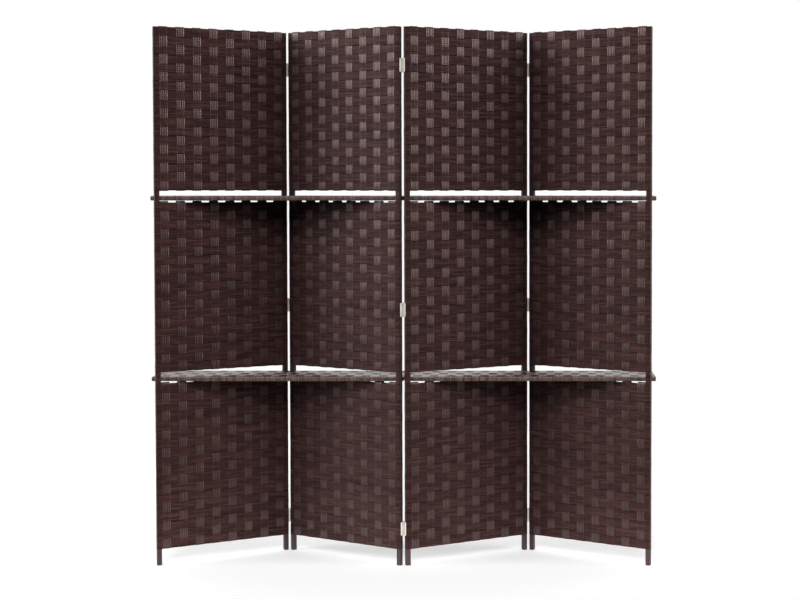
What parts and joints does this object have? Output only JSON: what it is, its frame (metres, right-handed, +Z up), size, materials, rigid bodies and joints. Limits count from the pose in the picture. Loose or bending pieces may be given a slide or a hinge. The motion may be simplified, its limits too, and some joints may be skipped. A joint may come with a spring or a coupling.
{
  "type": "folding screen with shelves",
  "caption": "Free-standing zigzag folding screen of woven cord panels on wooden frames, with butt hinges and loose woven shelves lying through slots in the panels.",
  "frame": {"origin": "on the floor, at the middle of the standing screen's footprint", "axes": "+Z up, +X along the screen to its right as seen from the front, +Y towards its back"},
  "size_m": [1.6918, 0.212, 1.8],
  "materials": {
    "frame_wood": "satin dark stain",
    "woven_cord": "twisted paper cord with a soft sheen",
    "shelf_cord": "twisted paper cord, lightly varnished",
    "hinge_steel": "nickel-plated"
  },
  "bodies": {
    "panel_1": {"left_hinge_leaves_on_panel_1": "hinge_steel", "panel_1_bindings": "woven_cord", "panel_1_hinge_screws": "hinge_steel", "panel_1_left_stile": "frame_wood", "panel_1_lower_rails": "frame_wood", "panel_1_lower_weave": "woven_cord", "panel_1_middle_rails": "frame_wood", "panel_1_middle_weave": "woven_cord", "panel_1_right_stile": "frame_wood", "panel_1_upper_rails": "frame_wood", "panel_1_upper_weave": "woven_cord"},
    "panel_2": {"left_hinge_leaves_on_panel_2": "hinge_steel", "middle_hinge_leaves_on_panel_2": "hinge_steel", "panel_2_bindings": "woven_cord", "panel_2_hinge_pins": "hinge_steel", "panel_2_hinge_screws": "hinge_steel", "panel_2_left_stile": "frame_wood", "panel_2_lower_rails": "frame_wood", "panel_2_lower_weave": "woven_cord", "panel_2_middle_rails": "frame_wood", "panel_2_middle_weave": "woven_cord", "panel_2_right_stile": "frame_wood", "panel_2_upper_rails": "frame_wood", "panel_2_upper_weave": "woven_cord"},
    "lower_left_shelf": {"lower_left_shelf_battens": "frame_wood", "lower_left_shelf_cover": "shelf_cord", "lower_left_shelf_rails": "frame_wood"},
    "lower_right_shelf": {"lower_right_shelf_battens": "frame_wood", "lower_right_shelf_cover": "shelf_cord", "lower_right_shelf_rails": "frame_wood"},
    "panel_3": {"middle_hinge_leaves_on_panel_3": "hinge_steel", "panel_3_bindings": "woven_cord", "panel_3_hinge_pins": "hinge_steel", "panel_3_hinge_screws": "hinge_steel", "panel_3_left_stile": "frame_wood", "panel_3_lower_rails": "frame_wood", "panel_3_lower_weave": "woven_cord", "panel_3_middle_rails": "frame_wood", "panel_3_middle_weave": "woven_cord", "panel_3_right_stile": "frame_wood", "panel_3_upper_rails": "frame_wood", "panel_3_upper_weave": "woven_cord", "right_hinge_leaves_on_panel_3": "hinge_steel"},
    "panel_4": {"panel_4_bindings": "woven_cord", "panel_4_hinge_screws": "hinge_steel", "panel_4_left_stile": "frame_wood", "panel_4_lower_rails": "frame_wood", "panel_4_lower_weave": "woven_cord", "panel_4_middle_rails": "frame_wood", "panel_4_middle_weave": "woven_cord", "panel_4_right_stile": "frame_wood", "panel_4_upper_rails": "frame_wood", "panel_4_upper_weave": "woven_cord", "right_hinge_leaves_on_panel_4": "hinge_steel"},
    "upper_left_shelf": {"upper_left_shelf_battens": "frame_wood", "upper_left_shelf_cover": "shelf_cord", "upper_left_shelf_rails": "frame_wood"},
    "upper_right_shelf": {"upper_right_shelf_battens": "frame_wood", "upper_right_shelf_cover": "shelf_cord", "upper_right_shelf_rails": "frame_wood"}
  },
  "joints": [
    {"name": "middle_fold", "type": "hinge", "parent": "panel_2", "child": "panel_3", "pos_m": [0, -0.08985, 0], "axis": [0, 0, 1], "range_deg": [0, 128]},
    {"name": "left_fold", "type": "hinge", "parent": "panel_2", "child": "panel_1", "pos_m": [-0.41636, 0.08985, 0], "axis": [0, 0, 1], "range_deg": [0, 128]},
    {"name": "right_fold", "type": "hinge", "parent": "panel_3", "child": "panel_4", "pos_m": [0.41636, 0.08985, 0], "axis": [0, 0, -1], "range_deg": [0, 128]},
    {"name": "lower_left_shelf_turn", "type": "hinge", "parent": "panel_2", "child": "lower_left_shelf", "pos_m": [-0.01035, -0.09649, 0], "axis": [0, 0, 1], "range_deg": [0, 64]},
    {"name": "lower_right_shelf_turn", "type": "hinge", "parent": "panel_3", "child": "lower_right_shelf", "pos_m": [0.01035, -0.09649, 0], "axis": [0, 0, -1], "range_deg": [0, 64]},
    {"name": "upper_left_shelf_turn", "type": "hinge", "parent": "panel_2", "child": "upper_left_shelf", "pos_m": [-0.01035, -0.09649, 0], "axis": [0, 0, 1], "range_deg": [0, 64]},
    {"name": "upper_right_shelf_turn", "type": "hinge", "parent": "panel_3", "child": "upper_right_shelf", "pos_m": [0.01035, -0.09649, 0], "axis": [0, 0, -1], "range_deg": [0, 64]}
  ],
  "couplings": [
    {"joint": "left_fold", "follows": "middle_fold", "ratio": 1},
    {"joint": "right_fold", "follows": "middle_fold", "ratio": 1},
    {"joint": "lower_left_shelf_turn", "follows": "middle_fold", "ratio": 0.5},
    {"joint": "lower_right_shelf_turn", "follows": "middle_fold", "ratio": 0.5},
    {"joint": "upper_left_shelf_turn", "follows": "middle_fold", "ratio": 0.5},
    {"joint": "upper_right_shelf_turn", "follows": "middle_fold", "ratio": 0.5}
  ]
}
